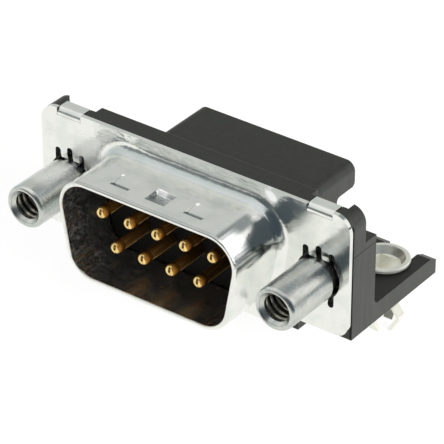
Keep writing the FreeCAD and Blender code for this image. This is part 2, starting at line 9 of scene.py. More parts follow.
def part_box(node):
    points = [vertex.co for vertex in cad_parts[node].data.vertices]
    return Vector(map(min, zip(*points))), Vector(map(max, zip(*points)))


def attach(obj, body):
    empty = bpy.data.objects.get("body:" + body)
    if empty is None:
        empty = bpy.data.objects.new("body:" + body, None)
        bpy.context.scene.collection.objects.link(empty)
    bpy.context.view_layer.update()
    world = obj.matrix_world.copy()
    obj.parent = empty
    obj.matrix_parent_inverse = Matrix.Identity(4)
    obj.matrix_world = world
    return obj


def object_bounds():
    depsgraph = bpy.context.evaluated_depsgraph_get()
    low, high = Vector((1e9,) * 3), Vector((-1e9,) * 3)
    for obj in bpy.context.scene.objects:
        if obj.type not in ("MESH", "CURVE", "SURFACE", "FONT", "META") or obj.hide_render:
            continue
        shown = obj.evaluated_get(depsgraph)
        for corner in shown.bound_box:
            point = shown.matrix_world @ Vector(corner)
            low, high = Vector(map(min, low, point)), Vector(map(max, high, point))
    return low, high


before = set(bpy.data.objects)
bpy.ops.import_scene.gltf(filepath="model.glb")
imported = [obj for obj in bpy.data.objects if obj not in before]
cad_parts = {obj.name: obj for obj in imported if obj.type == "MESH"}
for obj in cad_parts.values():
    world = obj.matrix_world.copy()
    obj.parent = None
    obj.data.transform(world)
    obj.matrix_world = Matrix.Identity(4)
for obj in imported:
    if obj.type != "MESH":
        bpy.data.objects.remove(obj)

bl_info = {
    "name": "Right-angle connector dressing",
    "version": (1, 0, 0),
    "blender": (4, 5, 0),
    "location": "View3D > Sidebar > Connector",
    "description": "Finishes, pin noses, threads and studio for a right-angle board connector",
    "category": "Object",
}

MM = 0.001
IMAGE_SIDE = 444
SENSOR = 36.0
BODY = "root"
CAD_BOX = [list(v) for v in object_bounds()]
SCREWLOCKS = ("left_screwlock", "right_screwlock")
BOARD_LOCKS = ("left_board_lock", "right_board_lock")
MOULDINGS = ("front_insulator", "rear_insulator", "rear_hood", "left_bracket", "right_bracket")
CONTACTS = sorted(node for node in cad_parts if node.startswith("contact_"))
DENT_PITCH = 3.65 * MM
PIN_PITCH = 2.77 * MM
ROW_PITCH = 2.84 * MM


def mm(*lengths):
    """Lengths in millimetres, as metres."""
    return tuple(length * MM for length in lengths)


# Places of the local finishes and of the painted shade, painted highlights and painted reflections,
# in the CAD frame. A range has its lower end, its upper end and the width of its soft edge; a fade
# goes from 0 at its first end to 1 at its second; a disc has the two coordinates of its middle and
# its radius. Names with FACING are ranges and fades of how far the surface faces an axis, from -1
# to 1.
UPPER_WALL_Z = mm(4.16, 4.6, 0.003)
CENTRE_DENT_X = mm(-0.98, 0.98, 0.03)
CENTRE_DENT_Y = mm(-4.80, -3.30, 0.03)
CENTRE_DENT_BELOW_TOP = mm(4.578, 4.57)
CENTRE_DENT_TO_LEFT = mm(1.0, 0.2)
OUTER_SLOPE_Y = mm(-4.68, -4.33, 0.03)
OUTER_SLOPE_INWARD = mm(0.95, 0.86)
OUTER_SIDE_X = mm(0.84, 0.92, 0.03)
OUTER_SIDE_Y = mm(-4.3, -3.05, 0.05)
RIM_LINE_Y = mm(-5.965, -5.76, 0.012)
RIM_LINE_Z = mm(4.36, 4.7, 0.03)
REAR_WALL_BRIGHT_X = mm(-0.92, 0.1, 0.15)
REAR_WALL_DIM_X = mm(0.1, 0.95, 0.1)
REAR_WALL_Y = mm(-3.36, -2.98, 0.05)
LEFT_DENT_HIGHLIGHT = mm(-4.5, -2.99, 0.15)
RIGHT_DENT_HIGHLIGHT = mm(2.95, -2.97, 0.2)
FILLET_Y = mm(-1.15, -0.12, 0.1)
FILLET_FACING_UP = (0.1, 0.97, 0.04)
FILLET_FACING_FRONT = (-0.05, -0.2)
FLANGE_GLINT = mm(10.75, 5.7, 0.55)
FLANGE_GLINT_Y = mm(-0.4, -0.2)
INSIDE_SHROUD_Y = mm(0.0, -0.3)
INSIDE_SHROUD_HEIGHT = mm(4.3, 4.2)
TURNED_INWARD = mm(-0.5, -1.0)
PALE_EAR_X = mm(-12.0, -9.3, 0.5)
PALE_EAR_Z = mm(1.6, 4.6, 0.8)
PALE_EAR_Y = mm(-0.5, -0.2)
BRIGHT_CORNER_Y = mm(-3.4, -5.0)
CORNER_FACING_RIGHT = (0.4, 0.88, 0.12)
CORNER_FACING_UP = (0.2, 0.4)
ROOT_Y = mm(-1.6, -0.5)
ROOT_WIDTH = mm(10.6, 9.4)
TOOL_RING_PITCH = 0.09 * MM
BORE_Y = mm(0.0, -0.2)
BORE_EDGE = 0.03 * MM
CREST_Y = mm(-4.4, -1.2, 0.8)
CREST_LEFT = mm(0.0, -0.1)
CREST_OUTSIDE = mm(1.6, 1.7)
CREST_HEIGHT_SHARE = (0.6, 0.95)
BAR_FACING_DOWN = (0.45, -0.3)
NOSE_Y = mm(-3.8, -4.3)
SHAFT_DEEP_Y = mm(-4.0, -1.4)
BEFORE_LAND_Y = mm(0.5, -0.5)
CLAMPED_Y = mm(-0.62, 1.7, 0.01)
TAIL_Y = mm(1.6, 1.8)
SHAFT_FACING_DOWN = (0.0, -0.5)
LOWER_ROW_Z = mm(0.001, -0.001)
CHEEK_HALF_WIDTH = 0.36 * MM
CHEEK_NARROWING = 0.4
CHEEK_EDGE = mm(0.06, -0.05)
CHEEK_Y = mm(-4.48, -4.6)
SEAM_Y = mm(-4.4, -4.5)
SEAM_EDGE = (1.6, 0.8)
SEAM_LEAN = -0.12
CREASE_WIDTH = mm(0.07, 0.02)
CREASE_BELOW = mm(0.05, -0.1)
CREASE_LEAN = 0.35
NOSE_BACK_Y = mm(-4.55, -4.2)
CHEEK_SHIFT = 0.02 * MM
LAND_Y = mm(0.0, -0.02)
END_SEAM_X = mm(15.3, 15.36)
END_SEAM_Y = mm(0.66, 0.58)
FOOT_TOP_Z = mm(-3.66, -3.54, 0.01)
FOOT_X = mm(9.4, 9.5)
PLASTIC_FACING_UP = (0.6, 0.8)

WHITE = (1.0, 1.0, 1.0)
MOTTLE = (0.86, 0.885, 0.89)
# Painted shade on the slopes in front of the dents and on the line behind the rim.
DENT_SLOPE_SHADE = (0.22, 0.25, 0.25)
# Painted shade lines along the side edges of the outer dents.
DENT_SIDE_SHADE = (0.30, 0.33, 0.33)
# Painted shade that tones down the root fillet's reflection.
FILLET_SHADE = (0.60, 0.655, 0.67)
# Painted shade on the shroud's inner wall, mottled.
INNER_SHADE = (0.68, 0.62, 0.52)
# Painted reflections: blue and amber specks on the shroud's inner wall.
INNER_BLUE_REFLECTION = (0.60, 0.70, 0.78)
INNER_AMBER_REFLECTION = (0.85, 0.56, 0.30)
# Painted highlight on the corner behind the rim.
CORNER_HIGHLIGHT = (1.0, 1.0, 0.98)
WARM_STREAK = (0.88, 0.87, 0.79)
COOL_STREAK = (0.46, 0.53, 0.54)
# Painted highlight along the left bar's crest.
CREST_HIGHLIGHT = (1.0, 1.0, 0.97)
# Painted shade on the bore wall in front of the flange.
BORE_SHADE = (0.06, 0.055, 0.045)
# The shafts' gold, painted dark as the shade inside the shroud, with more painted shade deeper in.
SHAFT_SHADED_PALE = (0.11, 0.046, 0.007)
SHAFT_SHADED_DEEP = (0.075, 0.033, 0.006)
SHAFT_INNER_SHADE = (0.065, 0.036, 0.011)
# Rolling lines along the shafts, lightened as painted highlights.
SHAFT_LINE_HIGHLIGHT = (0.24, 0.15, 0.07)
# Painted light on the shafts' undersides.
SHAFT_UNDERSIDE_LIGHT = (0.75, 0.45, 0.17)
# Painted shade, near black, from the shoulder through the insulator.
CLAMPED_SHADE = (0.006, 0.005, 0.004)
# Painted shade along the side of the nose.
NOSE_SIDE_SHADE = (0.10, 0.042, 0.007)
DUST = (0.12, 0.12, 0.115)
# Painted shade on the mouldings.
PLASTIC_SHADE = (0.0015, 0.0013, 0.0012)

# Shares of the thread's half pitch, the countersink's drop and the nose's length, and small depths
# that close the pieces out of sight.
THREAD_CREST = 0.42
THREAD_FLANK = 0.87
RUN_OUT_TURNS = 0.2
THROAT_DROPS = 1.9
WALL_DEPTH = 0.03 * MM
NOSE_FRONT_SHARE = 0.6
NOSE_REAR_INSET = 0.012 * MM
NOSE_REAR_DEPTH = 0.01 * MM
SEAM_STEEPNESS = 1.2

# Soft patches that the plated metal mirrors: azimuth, elevation, inner and outer angle in degrees,
# strength, colour.
REFLECTED_PATCHES = (
    (-115, 12, 20, 55, 0.9, (0.80, 0.82, 0.78)),
    (-42, 34, 14, 34, 0.8, (0.57, 0.59, 0.56)),
    (4, 47, 11, 20, 0.95, (0.24, 0.27, 0.27)),
    (-153, 8, 15, 26, 0.8, (0.15, 0.175, 0.18)),
    (-172, 12, 14, 28, 0.9, (0.09, 0.105, 0.11)),
    (122, 12, 44, 56, 0.96, (0.045, 0.065, 0.080)),
    (44, -4, 17, 24, 0.96, (0.040, 0.055, 0.065)),
    (38, 22, 16, 20, 0.95, (1.0, 1.0, 0.97)),
)
ROOM_SOFT_LIGHT = (0.42, 0.42, 0.41)
MIRRORED_WALL = (0.58, 0.60, 0.59)
MIRRORED_CEILING = (0.95, 0.95, 0.93)
CEILING_HEIGHT = (0.3, 0.95)
TABLE_NEAR = (0.97, 0.975, 0.93)
TABLE_FAR = (0.07, 0.09, 0.10)
TABLE_END = mm(34, 80)
FLOOR_WHITE = (0.86, 0.86, 0.85)
FLOOR_GLOW = 1.08
FLOOR_GLOW_SHARE = 0.85
FLOOR_REACH = 3.0
FLOOR_GAP = 0.05 * MM
LAMP_DISTANCE = 0.5
KEY_DIRECTION = (1.0, -0.2, 0.22)
KEY_SIZE = (0.35, 0.35)
TOP_DIRECTION = (-0.1, 0.25, 1.0)
TOP_SIZE = (0.45, 0.3)


def middle(node):
    """Centre of a node's box, in metres."""
    low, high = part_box(node)
    return (Vector(low) + Vector(high)) / 2


class Socket:
    """One node output with arithmetic: every operator adds its Math node."""

    def __init__(self, shade, link):
        self.shade = shade
        self.link = link

    def math(self, operation, *others):
        return self.shade.math(operation, self, *others)

    def __add__(self, other):
        return self.math("ADD", other)

    __radd__ = __add__

    def __mul__(self, other):
        return self.math("MULTIPLY", other)

    __rmul__ = __mul__

    def __sub__(self, other):
        return self.math("SUBTRACT", other)

    def __rsub__(self, first):
        return self.shade.math("SUBTRACT", first, self)

    def __truediv__(self, other):
        return self.math("DIVIDE", other)

    def __pow__(self, other):
        return self.math("POWER", other)

    def sine(self):
        return self.math("SINE")

    def size(self):
        """Distance from 0."""
        return self.math("ABSOLUTE")

    def clamped(self):
        return self.shade.node("ShaderNodeClamp", Value=self)

    def step(self, low, high):
        """Smooth step from 0 at low to 1 at high."""
        smooth = {"interpolation_type": "SMOOTHSTEP"}
        ends = {"From_Min": low, "From_Max": high}
        return self.shade.node("ShaderNodeMapRange", smooth, Value=self, **ends)


class Shader:
    """Builds one node tree."""

    def __init__(self, owner):
        owner.use_nodes = True
        self.tree = owner.node_tree
        self.tree.nodes.clear()

    def node(self, kind, settings=None, output=0, places=(), **values):
        """Adds a node and returns one of its outputs. Its settings are set first, then the values
        or links of its inputs: by place in pairs, or by name with _ for a space."""
        node = self.tree.nodes.new(kind)
        for key, value in (settings or {}).items():
            setattr(node, key, value)
        spots = [(node.inputs[place], value) for place, value in places]
        for key, value in values.items():
            name = key.replace("_", " ")
            spots.append((next(s for s in node.inputs if s.name == name and s.enabled), value))
        for spot, value in spots:
            if isinstance(value, Socket):
                self.tree.links.new(value.link, spot)
            elif spot.type == "RGBA":
                spot.default_value = tuple(value)[:3] + (1.0,)
            else:
                spot.default_value = value
        return Socket(self, node.outputs[output]) if node.outputs else None

    def math(self, operation, *terms):
        return self.node("ShaderNodeMath", {"operation": operation}, 0, enumerate(terms))

    def mix(self, factor, first, second):
        """Colour between the first, at factor 0, and the second, at factor 1."""
        terms = ((0, factor), (6, first), (7, second))
        return self.node("ShaderNodeMix", {"data_type": "RGBA"}, 2, terms)

    def place(self):
        """Object coordinates, which are the CAD frame's for every piece."""
        return self.node("ShaderNodeTexCoord", output="Object")

    def parts(self, vector):
        """The x, y and z of a vector."""
        first = self.node("ShaderNodeSeparateXYZ", Vector=vector)
        return [Socket(self, link) for link in first.link.node.outputs]

    def facing(self):
        """The x, y and z of the direction that the surface faces."""
        return self.parts(self.node("ShaderNodeNewGeometry", output="True Normal"))

    def scaled(self, vector, scale, turn=(0.0, 0.0, 0.0)):
        return self.node("ShaderNodeMapping", Vector=vector, Scale=scale, Rotation=turn)

    def noise(self, vector, scale, detail=3.0, roughness=0.5, distortion=0.0):
        look = {"Scale": scale, "Detail": detail, "Roughness": roughness, "Distortion": distortion}
        return self.node("ShaderNodeTexNoise", Vector=vector, **look)

    def streaks(self, vector, scales, turn=(0.0, 0.0, 0.0), **look):
        """Noise drawn out by its own scale along each axis, then turned."""
        return self.noise(self.scaled(vector, scales, turn), 1.0, **look)

    def bump(self, height, distance, under=None):
        """Bump of a height over a distance, on top of another bump if one is given."""
        values = {} if under is None else {"Normal": under}
        return self.node("ShaderNodeBump", Height=height, Distance=distance, **values)

    def surface(self, **values):
        """Principled surface wired to the output."""
        principled = self.node("ShaderNodeBsdfPrincipled", **values)
        self.node("ShaderNodeOutputMaterial", Surface=principled)


def new_finish(name):
    """New material, its shader builder and its Object coordinates."""
    material = bpy.data.materials.new(name)
    shade = Shader(material)
    return material, shade, shade.place()


def colour_of(group, name):
    return tuple(getattr(group, name))[:3]


def toned(colour, by):
    """A colour times a number, or times another colour channel by channel."""
    factors = by if isinstance(by, tuple) else (by, by, by)
    return tuple(c * factor for c, factor in zip(colour, factors))


def within(value, low, high, soft):
    """1 where the value lies between low and high, fading over soft on each side."""
    return value.step(low - soft, low + soft) * value.step(high + soft, high - soft)


def disc(x, y, middle_x, middle_y, radius):
    """1 within a disc in the x, y plane, with a soft edge."""
    across, along = x - middle_x, y - middle_y
    return ((across * across + along * along) ** 0.5).step(radius * 1.25, radius * 0.6)


def dent_masks(shade, place):
    """Masks on the shroud's upper wall: painted shade on the slopes in front of the three dents and
    a painted shade line behind the rim, painted shade lines along the thin side edges of the outer
    dents, and painted highlights at the dents' rear ends."""
    x, y, z = shade.parts(place)
    top = within(z, *UPPER_WALL_Z)
    slope_shade_noise = shade.streaks(place, (900.0, 2600.0, 900.0), turn=(0.0, 0.0, 0.5), roughness=0.6)
    centre = within(x, *CENTRE_DENT_X) * within(y, *CENTRE_DENT_Y) * z.step(*CENTRE_DENT_BELOW_TOP)
    centre = centre * (0.5 + slope_shade_noise * 0.7) * (x.step(*CENTRE_DENT_TO_LEFT) * 0.5 + 0.5)
    offset = (x.size() - DENT_PITCH).size()
    slope = within(y, *OUTER_SLOPE_Y) * offset.step(*OUTER_SLOPE_INWARD)
    sides = within(offset, *OUTER_SIDE_X) * within(y, *OUTER_SIDE_Y)
    # The line behind the rim is painted shade.
    rim = within(y, *RIM_LINE_Y) * within(z, *RIM_LINE_Z)
    # Painted highlights on the dents' rear walls and in spots at their rear ends.
    bright = within(x, *REAR_WALL_BRIGHT_X) + within(x, *REAR_WALL_DIM_X) * 0.45
    rear = bright * within(y + x * 0.12, *REAR_WALL_Y)
    spots = disc(x, y, *LEFT_DENT_HIGHLIGHT) + disc(x, y, *RIGHT_DENT_HIGHLIGHT) + rear
    return (centre + slope) * top + rim * 0.5, sides * top, (spots * top).clamped()


def shroud_masks(shade, place):
    """Masks round the shroud: the fillet at its root, toned down with painted shade, the glint on
    the flange beyond the D's upper right corner, the inner wall, which gets painted shade and
    painted reflections, the pale patch on the left ear, a painted light made with less metal, the
    bright corner behind the rim, a painted highlight, and the root, where the waves are stronger."""
    x, y, z = shade.parts(place)
    facing_x, facing_y, facing_z = shade.facing()
    # Painted shade on the root fillet.
    fillet = within(y, *FILLET_Y) * within(facing_z, *FILLET_FACING_UP)
    fillet = fillet * facing_y.step(*FILLET_FACING_FRONT)
    glint = disc(x + z * 0.5, z, *FLANGE_GLINT) * y.step(*FLANGE_GLINT_Y)
    # Painted shade and painted reflections go on the inner wall.
    inner = (x * facing_x + z * facing_z).step(*TURNED_INWARD) * y.step(*INSIDE_SHROUD_Y)
    inner = inner * z.size().step(*INSIDE_SHROUD_HEIGHT)
    # Painted light on the left ear: less metal makes it pale.
    pale = within(x, *PALE_EAR_X) * within(z, *PALE_EAR_Z) * y.step(*PALE_EAR_Y)
    # Painted highlight on the bright corner behind the rim.
    corner = within(facing_x, *CORNER_FACING_RIGHT) * facing_z.step(*CORNER_FACING_UP)
    corner = corner * y.step(*BRIGHT_CORNER_Y) * (1.0 - inner)
    root = y.step(*ROOT_Y) * x.size().step(*ROOT_WIDTH)
    return fillet, glint, inner, pale, corner, root


def drawn_metal(name, base, roughness, wave, metallic=1.0):
    """Bright plated sheet: waves of two sizes in its surface, stronger round the shroud's root,
    with faint drawing lines, mottling and small scuffs. The dents and the shroud carry painted
    shade and painted highlights, and the shroud's inner wall has mottled painted shade speckled
    with painted reflections."""
    material, shade, place = new_finish(name)
    clouds = shade.noise(place, 420.0, detail=4.0, roughness=0.6)
    fine = shade.noise(place, 2600.0, roughness=0.6)
    lines = shade.streaks(place, (3500.0, 160.0, 3500.0), detail=2.0)
    scuffs = shade.streaks(
        place, (500.0, 4200.0, 900.0), turn=(0.4, 0.2, 0.7), detail=4.0, roughness=0.7
    ).step(0.62, 0.74)
    streaks = shade.streaks(place, (300.0, 3600.0, 1200.0), roughness=0.65)
    inner_shade_noise = shade.streaks(place, (1400.0, 700.0, 1400.0), detail=4.0, roughness=0.7)
    specks = shade.noise(place, 6500.0, detail=2.0, roughness=0.7).step(0.46, 0.72)
    turned = shade.scaled(place, (1.0, 1.0, 1.0), turn=(0.3, 0.3, 0.3))
    amber = shade.noise(turned, 1500.0, detail=2.0, roughness=0.6).step(0.56, 0.72)
    dull = clouds.step(0.4, 0.68)
    slopes, sides, spots = dent_masks(shade, place)
    slopes = slopes.clamped()
    fillet, glint, inner, pale, corner, root = shroud_masks(shade, place)
    spots = (spots + glint).clamped()

    tint = shade.mix(dull * 0.7, base, toned(base, MOTTLE))
    tint = shade.mix(scuffs * 0.3, tint, toned(base, 0.75))
    # Painted shade on the dents' slopes and on the line behind the rim.
    tint = shade.mix(slopes * 0.9, tint, DENT_SLOPE_SHADE)
    # Painted shade lines along the outer dents' side edges.
    tint = shade.mix(sides * 0.1, tint, DENT_SIDE_SHADE)
    # Painted shade over the root fillet.
    tint = shade.mix(fillet * (0.55 + streaks * 0.5), tint, FILLET_SHADE)
    # Painted highlights: white, with less metal, at the dents' rear ends and at the flange's glint.
    tint = shade.mix(spots, tint, WHITE)
    # Mottled painted shade on the shroud's inner wall.
    tint = shade.mix(inner * (inner_shade_noise.step(0.42, 0.58) * 0.7 + 0.3), tint, INNER_SHADE)
    # Painted reflections: blue and amber specks on the inner wall.
    tint = shade.mix(inner * specks * 0.7, tint, INNER_BLUE_REFLECTION)
    tint = shade.mix(inner * amber * 0.5, tint, INNER_AMBER_REFLECTION)
    # Painted highlight on the corner behind the rim.
    tint = shade.mix(corner * 0.6, tint, CORNER_HIGHLIGHT)

    # Less metal at the painted highlights, the painted reflections, the left ear's painted light
    # and the corner's painted highlight.
    speckled = inner * (amber * 0.05 + specks * 0.11)
    metal = (metallic - spots * 0.75 - speckled - pale * 0.7 - corner * 0.6).clamped()
    rough = dull * 0.06 + lines * 0.04 + scuffs * 0.12 + slopes * 0.12 + inner * 0.06 + roughness
    slow = shade.bump(shade.noise(place, 240.0, detail=2.0), 1.6 * wave * MM)
    ripples = shade.streaks(place, (420.0, 900.0, 900.0), roughness=0.55)
    waves = shade.bump(ripples * (root * 1.6 + 0.7), wave * MM, slow)
    near = shade.bump(fine * 0.4 + lines, 0.0012 * MM, waves)
    shade.surface(Base_Color=tint, Metallic=metal, Roughness=rough, Normal=near)
    return material


def turned_metal(name, base, roughness, axis_x=0.0, bore_radius=0.0):
    """Bright plated bar: fine tool rings about the axis, faint stains, streaks along the bar and a
    darker underside, which is painted shade. With a bore radius, the wall nearer than that to the
    axis at x = +-axis_x is darkened with painted shade in front of the flange, and the left bar has
    a painted highlight along its crest."""
    material, shade, place = new_finish(name)
    x, y, z = shade.parts(place)
    rings = (y * (2 * math.pi / TOOL_RING_PITCH)).sine()
    stain = shade.noise(place, 900.0, detail=4.0, roughness=0.6).step(0.42, 0.66)
    streaks = shade.streaks(place, (1500.0, 150.0, 1500.0), roughness=0.6)
    across = x.size() - axis_x
    apart = (across * across + z * z) ** 0.5
    # Painted shade on the bore wall in front of the flange.
    bore = apart.step(bore_radius + BORE_EDGE, bore_radius) * y.step(*BORE_Y)
    # Painted shade on the bar's underside.
    low = shade.facing()[2].step(*BAR_FACING_DOWN)
    # Painted highlight along the left bar's crest.
    crest = (z / apart).step(*CREST_HEIGHT_SHARE) * within(y, *CREST_Y) * x.step(*CREST_LEFT)
    crest = crest * apart.step(*CREST_OUTSIDE) * (1.0 if bore_radius else 0.0)

    tint = shade.mix(stain * 0.6, base, toned(base, 0.78))
    tint = shade.mix(streaks.step(0.42, 0.6) * 0.45, tint, WARM_STREAK)
    tint = shade.mix(streaks.step(0.5, 0.34) * 0.5, tint, COOL_STREAK)
    # Painted shade on the underside.
    tint = shade.mix(low * 0.6, tint, toned(base, 0.72))
    # Painted highlight along the crest.
    tint = shade.mix(crest * 0.9, tint, CREST_HIGHLIGHT)
    # Painted shade in the bore.
    tint = shade.mix(bore * 0.8, tint, BORE_SHADE)

    rough = stain * 0.12 + shade.noise(place, 3000.0, detail=2.0) * 0.06 + roughness
    slow = shade.bump(shade.noise(place, 700.0, roughness=0.6), 0.03 * MM)
    near = shade.bump(rings, 0.0009 * MM, slow)
    shade.surface(Base_Color=tint, Metallic=1.0 - crest * 0.3, Roughness=rough, Normal=near)
    return material


def gold_plate(name, base, deep, roughness):
    """Gold flash over rolled alloy: shafts painted dark amber as the shade inside the shroud, with
    more painted shade towards the insulator and painted light on their undersides, painted shade
    near black from the shoulder through the insulator, bright tails behind it, and faint rolling
    lines along the pin, which the colour lightens as a painted highlight."""
    material, shade, place = new_finish(name)
    y = shade.parts(place)[1]
    lines = shade.streaks(place, (6000.0, 300.0, 6000.0), detail=2.0)
    clouds = shade.noise(place, 700.0, roughness=0.6)
    nose = y.step(*NOSE_Y)
    # Painted shade deeper in the shroud.
    inner = y.step(*SHAFT_DEEP_Y) * y.step(*BEFORE_LAND_Y)
    # Painted shade from the shoulder through the insulator.
    clamped = within(y, *CLAMPED_Y)
    tail = y.step(*TAIL_Y)
    # Painted light on the undersides.
    under = shade.facing()[2].step(*SHAFT_FACING_DOWN)

    # Gold painted dark as the shade inside the shroud.
    shaft = shade.mix(clouds.step(0.35, 0.75), SHAFT_SHADED_PALE, SHAFT_SHADED_DEEP)
    # More painted shade deeper in.
    shaft = shade.mix(inner * 0.8, shaft, SHAFT_INNER_SHADE)
    # Rolling lines, lightened as painted highlights.
    shaft = shade.mix(lines.step(0.5, 0.75) * 0.5, shaft, SHAFT_LINE_HIGHLIGHT)
    # Painted light on the shafts' undersides.
    shaft = shade.mix(under, shaft, SHAFT_UNDERSIDE_LIGHT)
    tint = shade.mix(nose * 0.25, shaft, deep)
    # Painted shade from the shoulder through the insulator.
    tint = shade.mix(clamped, tint, CLAMPED_SHADE)
    tint = shade.mix(tail, tint, shade.mix(clouds.step(0.35, 0.7), base, toned(base, 0.85)))

    rough = lines * 0.08 + (1.0 - nose) * 0.14 + clamped * 0.3 + roughness
    metal = ((1.0 - clamped) * 0.5 + tail * 0.5).clamped()
    near = shade.bump(lines, 0.0006 * MM)
    shade.surface(Base_Color=tint, Metallic=metal, Roughness=rough, Normal=near)
    return material


def gold_nose(name, base, deep, dark, roughness, sizes):
    """Gold on the pins' noses: two bright cheeks that narrow upwards, which are a painted
    highlight, deeper gold and painted shade round them and along the side, a painted shade line
    down the cheeks, and a dark almond of painted shade where the rolled seam opens. The place about
    each pin's own axis comes from wrapping x at the pin pitch, half a pitch later in the lower row."""
    material, shade, place = new_finish(name)
    x, y, z = shade.parts(place)
    clouds = shade.noise(place, 1500.0, roughness=0.6)
    fine = shade.noise(place, 7000.0, roughness=0.6)
    lower = z.step(*LOWER_ROW_Z)
    across = (x + lower * (PIN_PITCH / 2)).math("WRAP", PIN_PITCH / 2, -PIN_PITCH / 2)
    over = z - (1.0 - lower * 2.0) * (ROW_PITCH / 2)
    half = CHEEK_HALF_WIDTH - over * CHEEK_NARROWING
    # The cheeks are the painted highlight.
    cheeks = ((across + CHEEK_SHIFT).size() - half).step(*CHEEK_EDGE) * y.step(*CHEEK_Y)
    wide = (across + over * SEAM_LEAN) / sizes.seam_width
    high = (over - sizes.seam_middle) / sizes.seam_height
    # Painted shade in the open seam.
    seam = (wide * wide + high * high).step(*SEAM_EDGE) * y.step(*SEAM_Y)
    # A painted shade line down the cheeks.
    crease = (across - CHEEK_SHIFT + over * CREASE_LEAN).size().step(*CREASE_WIDTH)
    crease = crease * over.step(*CREASE_BELOW)

    # Deeper gold and painted shade round the cheeks and along the side.
    side = shade.mix(y.step(*NOSE_BACK_Y), deep, NOSE_SIDE_SHADE)
    # The bright cheeks: a painted highlight.
    tint = shade.mix(cheeks, side, base)
    tint = shade.mix(clouds.step(0.4, 0.7) * 0.3, tint, deep)
    # Painted shade line down the cheeks.
    tint = shade.mix(crease * cheeks * 0.6, tint, deep)
    # Painted shade in the seam.
    tint = shade.mix(seam, tint, dark)

    rough = clouds * 0.1 + seam * 0.3 + roughness
    metal = 0.6 + cheeks * 0.35
    near = shade.bump(fine, 0.0008 * MM)
    shade.surface(Base_Color=tint, Metallic=metal, Roughness=rough, Normal=near)
    return material


def moulded_plastic(name, base, roughness):
    """Black glass-filled moulding: fine eroded grain, faint flow streaks and greyer dust. Painted
    shade darkens it on the land among the pins, in the seam behind the flange's ends, where it is a
    painted shadow line, and on the faces that look up, the feet's most; the land, the seam and the
    feet's tops are also duller."""
    material, shade, place = new_finish(name)
    x, y, z = shade.parts(place)
    grain = shade.noise(place, 5200.0, detail=4.0, roughness=0.65)
    flow = shade.streaks(place, (260.0, 900.0, 260.0), roughness=0.6, distortion=0.6)
    draw = shade.streaks(place, (2600.0, 2600.0, 180.0), detail=2.0, roughness=0.6)
    specks = shade.noise(place, 9000.0, detail=1.0).step(0.7, 0.8)
    land = y.step(*LAND_Y)
    # Painted shadow line in the seam behind the flange's ends.
    seam = x.size().step(*END_SEAM_X) * y.step(*END_SEAM_Y)
    # Painted shade on the faces that look up, more on the feet's tops.
    up = shade.facing()[2].step(*PLASTIC_FACING_UP)
    foot = within(z, *FOOT_TOP_Z) * x.size().step(*FOOT_X) * up
    # All of these darken as painted shade.
    dark = (land * 0.75 + seam + foot * 0.3 + up * 0.22).clamped()

    tint = shade.mix(flow.step(0.4, 0.8) * 0.5, base, tuple(c * 1.5 + 0.004 for c in base))
    tint = shade.mix(draw.step(0.35, 0.7) * 0.3, tint, toned(base, 1.9))
    tint = shade.mix(specks * 0.3, tint, DUST)
    # Painted shade.
    tint = shade.mix(dark, tint, PLASTIC_SHADE)

    rough = flow * 0.1 + grain * 0.08 + land * 0.3 + seam * 0.4 + foot * 0.12 + roughness
    near = shade.bump(grain, 0.004 * MM)
    shade.surface(Base_Color=tint, Roughness=rough, Normal=near, Specular_IOR_Level=0.28)
    return material


def surface_mesh(name, points, wrap_u=False, wrap_v=False, join=False):
    """Mesh of a grid of points (rows u, columns v, 3), with quads between neighbours. With join,
    points in one place become one, which closes a pole."""
    rows, columns = points.shape[:2]
    index = np.arange(rows * columns).reshape(rows, columns)
    if wrap_u:
        index = np.vstack([index, index[:1]])
    if wrap_v:
        index = np.hstack([index, index[:, :1]])
    corners = [index[:-1, :-1], index[1:, :-1], index[1:, 1:], index[:-1, 1:]]
    quads = np.stack(corners, axis=-1).reshape(-1, 4)
    mesh = bpy.data.meshes.new(name)
    mesh.vertices.add(rows * columns)
    mesh.vertices.foreach_set("co", points.reshape(-1).astype(np.float32))
    mesh.loops.add(quads.size)
    mesh.loops.foreach_set("vertex_index", quads.reshape(-1).astype(np.int32))
    mesh.polygons.add(len(quads))
    mesh.polygons.foreach_set("loop_start", (np.arange(len(quads)) * 4).astype(np.int32))
    mesh.update(calc_edges=True)
    if join:
        work = bmesh.new()
        work.from_mesh(mesh)
        bmesh.ops.remove_doubles(work, verts=work.verts, dist=1e-9)
        bmesh.ops.recalc_face_normals(work, faces=work.faces)
        work.to_mesh(mesh)
        work.free()
    mesh.validate()
    mesh.shade_smooth()
    return mesh


def add_piece(name, mesh, material):
    """Object at the origin that rides the one body."""
    piece = bpy.data.objects.new(name, mesh)
    bpy.context.scene.collection.objects.link(piece)
    mesh.materials.append(bpy.data.materials[material])
    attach(piece, BODY)


